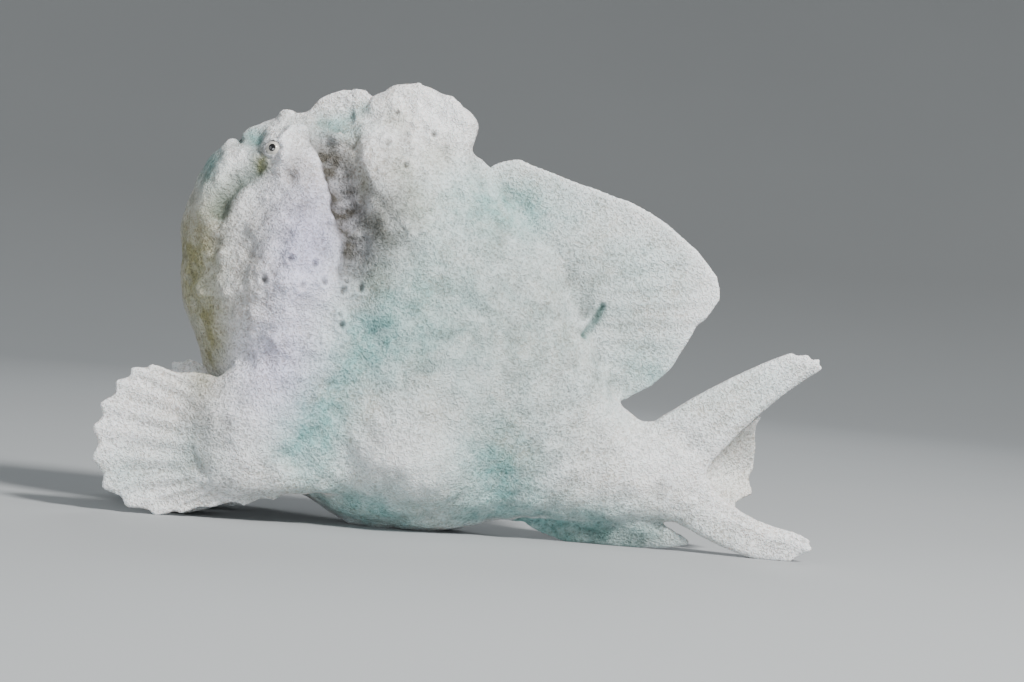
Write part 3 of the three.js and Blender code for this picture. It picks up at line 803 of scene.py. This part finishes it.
def eye_material(name, middle, gaze, radius, colours):
    """A pale gold iris with fine rings round a black pupil, under a clear glossy coat."""
    n = Nodes(name)
    at = n.add("ShaderNodeTexCoord").outputs["Object"]
    turn = Vector((0, 0, 1)).rotation_difference(gaze).to_euler()
    inputs = {"Vector": at, "Location": middle, "Rotation": turn}
    local = n.add("ShaderNodeMapping", inputs, vector_type="TEXTURE")
    parts = n.add("ShaderNodeSeparateXYZ", {0: local.outputs[0]}).outputs
    squares = [
        n.maths("POWER", n.maths("ABSOLUTE", n.maths("DIVIDE", part, size)), 2.0)
        for part, size in ((parts[0], radius), (parts[1], radius * 1.12))
    ]
    out = n.maths("SQRT", n.maths("ADD", *squares))
    rings = n.maths("SINE", n.maths("MULTIPLY", out, 95.0))
    mottle = n.add("ShaderNodeTexNoise", {"Vector": at, "Scale": 1400.0, "Detail": 3.0}).outputs[0]
    ringed = n.maths("ADD", n.maths("MULTIPLY", rings, 0.3), 0.5)
    iris = n.blend(ringed, colours["iris"], colours["iris_ring"])
    iris = n.blend(n.maths("MULTIPLY", mottle, 0.5), iris, colours["pale"])
    shown = n.steps(out, ((0.0, grey(0)), (0.32, grey(0)), (0.35, grey(1)), (1.0, grey(1))))
    white = n.steps(out, ((0.0, grey(0)), (0.68, grey(0)), (0.80, grey(1)), (1.0, grey(1))))
    colour = n.blend(shown, (0.004, 0.004, 0.005, 1), iris)
    colour = n.blend(white, colour, colours["dark"])
    n.feed(n.shader.inputs["Base Color"], colour)
    n.feed(n.shader.inputs["Roughness"], 0.25)
    n.feed(n.shader.inputs["Coat Weight"], 1.0)
    n.feed(n.shader.inputs["Coat Roughness"], 0.03)
    return n.material


def rgba(colour):
    return (*colour, 1.0)


class FrogfishSkinSettings(bpy.types.PropertyGroup):
    """Mesh sizes and colours of the skin, with its painted shade and painted highlights."""

    body_cell: bpy.props.FloatProperty(
        name="Body cell", description="Size of the first, coarse mesh of the body",
        default=0.0024, unit="LENGTH")
    fine_cell: bpy.props.FloatProperty(
        name="Fine cell", description="Size of the skin's own mesh", default=0.00105, unit="LENGTH")
    faces: bpy.props.IntProperty(
        name="Faces", description="Triangles that the finished skin may have", default=190000)
    warm: bpy.props.FloatVectorProperty(
        name="Warm white", description="Skin where it is warmest",
        default=(0.60, 0.535, 0.47), subtype="COLOR")
    cool: bpy.props.FloatVectorProperty(
        name="Cool white", description="Skin where it is coolest",
        default=(0.52, 0.535, 0.54), subtype="COLOR")
    # Teal: partly the skin's green-blue, partly painted shade.
    teal: bpy.props.FloatVectorProperty(
        name="Teal", description="Green-blue tint, and painted shade in hollows and fin bases",
        default=(0.14, 0.47, 0.45), subtype="COLOR")
    lavender: bpy.props.FloatVectorProperty(
        name="Lavender", description="Tint of the cheek", default=(0.76, 0.74, 0.97), subtype="COLOR")
    # Brown: mottles, and painted shade on the chin and throat.
    brown: bpy.props.FloatVectorProperty(
        name="Olive brown", description="Brown tint, and painted shade on the chin and throat",
        default=(0.38, 0.36, 0.19), subtype="COLOR")
    # Painted shade in grooves, pits and hollows.
    dark: bpy.props.FloatVectorProperty(
        name="Painted groove shade", description="Painted shade in grooves, pits and hollows",
        default=(0.085, 0.077, 0.058), subtype="COLOR")
    # Pale: lips, fin rims and net, and painted highlights.
    pale: bpy.props.FloatVectorProperty(
        name="Pale edge", description="Lips, fin rims, the fine net and painted highlights",
        default=(0.90, 0.90, 0.91), subtype="COLOR")
    mottle: bpy.props.FloatVectorProperty(
        name="Mottling", description="Greyer patches and the pits of the skin",
        default=(0.25, 0.25, 0.243), subtype="COLOR")
    # Painted shade inside the mouth's opening.
    cavity: bpy.props.FloatVectorProperty(
        name="Mouth", description="Painted shade inside the mouth", default=(0.05, 0.14, 0.13), subtype="COLOR")

    def palette(self):
        names = ("warm", "cool", "mottle", "teal", "lavender", "brown", "dark", "pale", "cavity")
        return {name: rgba(getattr(self, name)) for name in names}


class FrogfishEyeSettings(bpy.types.PropertyGroup):
    """Sizes and colours of the eyes."""

    opening: bpy.props.FloatProperty(
        name="Lid opening", description="Half-angle of the lid's opening",
        default=TURN(39), subtype="ANGLE")
    iris: bpy.props.FloatVectorProperty(
        name="Iris", description="Gold of the iris", default=(0.52, 0.49, 0.42), subtype="COLOR")
    iris_ring: bpy.props.FloatVectorProperty(
        name="Iris rings", description="Darker rings of the iris",
        default=(0.31, 0.28, 0.21), subtype="COLOR")


def eye_facts(name, opening=0.0):
    """An eyeball's middle, gaze, radius and lid opening in scene units and degrees."""
    lowest, highest = (Vector(corner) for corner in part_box(name))
    middle = (lowest + highest) / 2
    radius = (highest.z - lowest.z) / 2
    outward = -1 if name.endswith("left") else 1
    gaze = Vector((-0.18, outward * 0.96, 0.2)).normalized()
    return middle, gaze, radius, math.degrees(opening)


class FROGFISH_OT_eyes(bpy.types.Operator):
    """Makes both eyeballs with their irises"""

    bl_idname = "frogfish.eyes"
    bl_label = "Eyes"

    def execute(self, context):
        settings = context.scene.frogfish_eyes
        tones = context.scene.frogfish_skin.palette()
        for name in ("eye_left", "eye_right"):
            middle, gaze, radius, _ = eye_facts(name)
            pick_only()
            ball = {"segments": 48, "ring_count": 32, "radius": radius, "location": middle}
            run(bpy.ops.mesh.primitive_uv_sphere_add, **ball)
            eye = bpy.context.view_layer.objects.active
            eye.name = eye.data.name = name + "_ball"
            run(bpy.ops.object.transform_apply, location=True, rotation=True, scale=True)
            run(bpy.ops.object.shade_smooth)
            places = read_places(eye.data) - np.array(middle)
            forward = places @ np.array(gaze)
            bulge = ramp(forward / radius, 0.72, 1.0) * radius * 0.10
            write_places(eye.data, places + np.array(middle) + np.outer(bulge, np.array(gaze)))
            colours = {
                "iris": rgba(settings.iris), "iris_ring": rgba(settings.iris_ring),
                "pale": tones["pale"], "dark": tones["mottle"],
            }
            eye.data.materials.append(eye_material(name + "_iris", middle, gaze, radius, colours))
            hand_in(eye, "eye", name)
        return {"FINISHED"}


class FROGFISH_OT_skin(bpy.types.Operator):
    """Makes one skin over the whole body and all the fins"""

    bl_idname = "frogfish.skin"
    bl_label = "Skin"

    def execute(self, context):
        settings = context.scene.frogfish_skin
        skin, body_tree = self.join_flesh(context, settings)
        opening = context.scene.frogfish_eyes.opening
        eyes = [eye_facts(name, opening) for name in ("eye_left", "eye_right")]
        finer_near(skin, [eye[0] for eye in eyes], EYE_ZONE * MM, cuts=2)
        masks = self.sculpt(skin.data, body_tree, eyes)
        store_masks(skin.data, masks)
        skin.data.calc_loop_triangles()
        thin = skin.modifiers.new("fewer", "DECIMATE")
        thin.ratio = min(1.0, settings.faces / len(skin.data.loop_triangles))
        apply_all(skin)
        pick_only(skin)
        run(bpy.ops.object.shade_smooth)
        skin.data.materials.clear()
        skin.data.materials.append(skin_material(settings.palette()))
        hand_in(skin, "skin", *BODY_NODES, *FIN_NODES)
        return {"FINISHED"}

    def join_flesh(self, context, settings):
        """Body and fins as one smooth closed mesh, and a search tree of the body alone."""
        skin = merged_copy(BODY_NODES, "skin")
        even_mesh(skin, settings.body_cell)
        relax(skin.data, BODY_ROUNDS, BODY_STRENGTH, keep_size=True)
        relax(skin.data, 2, 0.5)
        swell(skin.data, BODY_SWELL * MM)
        tree = BVHTree.FromObject(skin, context.evaluated_depsgraph_get())
        fins = merged_copy(FIN_NODES, "fins")
        even_mesh(fins, settings.fine_cell * 0.85)
        relax(fins.data, 3, 0.4)
        swell(fins.data, FIN_SWELL * MM)
        pick_only(fins, skin)
        run(bpy.ops.object.join)
        even_mesh(skin, settings.fine_cell)
        away = off_the_body(skin.data, tree)
        relax(skin.data, 2, 0.35)
        joins = 0.5 * bell(away, JOIN_REACH) * ramp(away, 0.1, 0.5) + 0.12 * (away < 0.5)
        relax(skin.data, JOIN_ROUNDS, joins)
        return skin, tree

    def sculpt(self, mesh, body_tree, eyes):
        """Moves the skin into its folds, warts, rays and lids, and returns its colour masks."""
        fin_share = ramp(off_the_body(mesh, body_tree), 1.0, 7.0)
        shape = SkinShape((read_places(mesh) - MIDDLE) / MM, read_normals(mesh), fin_share)
        shape.shape_all()
        places = shape.places + shape.normals * shape.lift[:, None]
        places[:, 1] += shape.sway
        settle_lids(shape, places, [
            ((np.array(m) - MIDDLE) / MM, np.array(g), r / MM, o) for m, g, r, o in eyes
        ])
        places[:, 2] = np.maximum(places[:, 2], 0)
        write_places(mesh, places * MM + MIDDLE)
        # Painted shade in the skin's hollows and painted highlight on its crests, from how the mesh bends.
        edges, count = read_edges(mesh), len(places)
        hollow = np.einsum("ij,ij->i", around(places, edges, count) - places, read_normals(mesh))
        hollow = around(hollow[:, None], edges, count)[:, 0]
        shape.tint("pale", 0.7 * ramp(-hollow, 0.2, 0.6))
        shape.tint("dark", 0.45 * ramp(hollow, 0.06, 0.22))
        return shape.masks


class FrogfishStageSettings(bpy.types.PropertyGroup):
    """The floor, the lights and the camera."""

    floor: bpy.props.FloatVectorProperty(
        name="Floor", description="Colour of the floor", default=(0.34, 0.355, 0.365), subtype="COLOR")
    radius: bpy.props.FloatProperty(
        name="Floor radius", description="Half-width of the floor", default=4.5, unit="LENGTH")
    flat: bpy.props.FloatProperty(
        name="Flat radius", description="Where the floor starts to sweep up", default=1.7, unit="LENGTH")
    distance: bpy.props.FloatProperty(
        name="Camera distance", description="From the camera to the middle of the fish",
        default=1.422, unit="LENGTH")
    elevation: bpy.props.FloatProperty(
        name="Camera elevation", description="How far the camera looks down",
        default=TURN(1.2), subtype="ANGLE")
    roll: bpy.props.FloatProperty(
        name="Camera roll", description="How far the camera leans", default=TURN(5), subtype="ANGLE")
    lens: bpy.props.FloatProperty(name="Lens", description="Focal length in millimetres", default=100.0)


def area_light(name, place, target, size, power, colour):
    light = bpy.data.lights.new(name, "AREA")
    light.shape = "DISK"
    light.size = size
    light.energy = power
    light.color = colour
    lamp = bpy.data.objects.new(name, light)
    bpy.context.collection.objects.link(lamp)
    lamp.location = place
    lamp.rotation_euler = (Vector(target) - Vector(place)).to_track_quat("-Z", "Y").to_euler()


class FROGFISH_OT_stage(bpy.types.Operator):
    """Makes the floor, the lights and the camera"""

    bl_idname = "frogfish.stage"
    bl_label = "Stage"

    def execute(self, context):
        settings = context.scene.frogfish_stage
        self.make_floor(settings)
        self.make_lights(context)
        self.make_camera(context, settings)
        return {"FINISHED"}

    def make_floor(self, settings):
        pick_only()
        cells = {"x_subdivisions": FLOOR_CELLS, "y_subdivisions": FLOOR_CELLS}
        run(bpy.ops.mesh.primitive_grid_add, size=2 * settings.radius, **cells)
        floor = bpy.context.view_layer.objects.active
        floor.name = floor.data.name = "floor"
        places = read_places(floor.data)
        beyond = np.maximum(np.hypot(places[:, 0], places[:, 1]) - settings.flat, 0)
        places[:, 2] = FLOOR_SWEEP * beyond**2
        write_places(floor.data, places)
        run(bpy.ops.object.shade_smooth)
        n = Nodes("floor")
        at = n.add("ShaderNodeTexCoord").outputs["Object"]
        cloud = n.add("ShaderNodeTexNoise", {"Vector": at, "Scale": 3.0, "Detail": 2.0}).outputs[0]
        deeper = tuple(0.94 * c for c in settings.floor)
        n.feed(n.shader.inputs["Base Color"], n.blend(cloud, rgba(settings.floor), rgba(deeper)))
        n.feed(n.shader.inputs["Roughness"], 0.85)
        floor.data.materials.append(n.material)

    def make_lights(self, context):
        target = scene_point(*LIGHT_TARGET)
        for name, place, size, power, colour in LIGHTS:
            area_light(name, place, target, size, power, colour)
        world = bpy.data.worlds.new("studio")
        world.use_nodes = True
        sky = world.node_tree.nodes["Background"].inputs
        sky["Color"].default_value = (0.80, 0.84, 0.86, 1)
        sky["Strength"].default_value = 0.34
        context.scene.world = world

    def make_camera(self, context, settings):
        lens = bpy.data.cameras.new("photo_camera")
        lens.lens = settings.lens
        lens.sensor_width = 36
        lens.clip_start = 0.01
        camera = bpy.data.objects.new("photo_camera", lens)
        context.collection.objects.link(camera)
        down, lean = settings.elevation, settings.roll
        ahead = Vector((0, math.cos(down), -math.sin(down)))
        level, upright = Vector((1, 0, 0)), Vector((0, math.sin(down), math.cos(down)))
        right = math.cos(lean) * level + math.sin(lean) * upright
        up = -math.sin(lean) * level + math.cos(lean) * upright
        turn = Matrix((right, up, -ahead)).transposed().to_4x4()
        place = scene_point(*CAMERA_TARGET) - ahead * settings.distance
        camera.matrix_world = Matrix.Translation(place) @ turn
        context.scene.camera = camera


class FROGFISH_PT_panel(bpy.types.Panel):
    """The frogfish's settings and its makers"""

    bl_idname = "FROGFISH_PT_panel"
    bl_label = "Frogfish"
    bl_space_type = "VIEW_3D"
    bl_region_type = "UI"
    bl_category = "Frogfish"

    def draw(self, context):
        for title, settings, operator in (
            ("Skin", context.scene.frogfish_skin, "frogfish.skin"),
            ("Eyes", context.scene.frogfish_eyes, "frogfish.eyes"),
            ("Stage", context.scene.frogfish_stage, "frogfish.stage"),
        ):
            box = self.layout.box()
            box.label(text=title)
            for name in settings.__annotations__:
                box.prop(settings, name)
            box.operator(operator)


CLASSES = (
    FrogfishSkinSettings, FrogfishEyeSettings, FrogfishStageSettings,
    FROGFISH_OT_skin, FROGFISH_OT_eyes, FROGFISH_OT_stage, FROGFISH_PT_panel,
)
SETTINGS = {
    "frogfish_skin": FrogfishSkinSettings,
    "frogfish_eyes": FrogfishEyeSettings,
    "frogfish_stage": FrogfishStageSettings,
}


def register():
    for one in CLASSES:
        bpy.utils.register_class(one)
    for name, kind in SETTINGS.items():
        setattr(bpy.types.Scene, name, bpy.props.PointerProperty(type=kind))


def unregister():
    for name in SETTINGS:
        delattr(bpy.types.Scene, name)
    for one in reversed(CLASSES):
        bpy.utils.unregister_class(one)


def main():
    register()
    for operator in (bpy.ops.frogfish.stage, bpy.ops.frogfish.skin, bpy.ops.frogfish.eyes):
        run(operator)


if __name__ == "__main__":
    main()
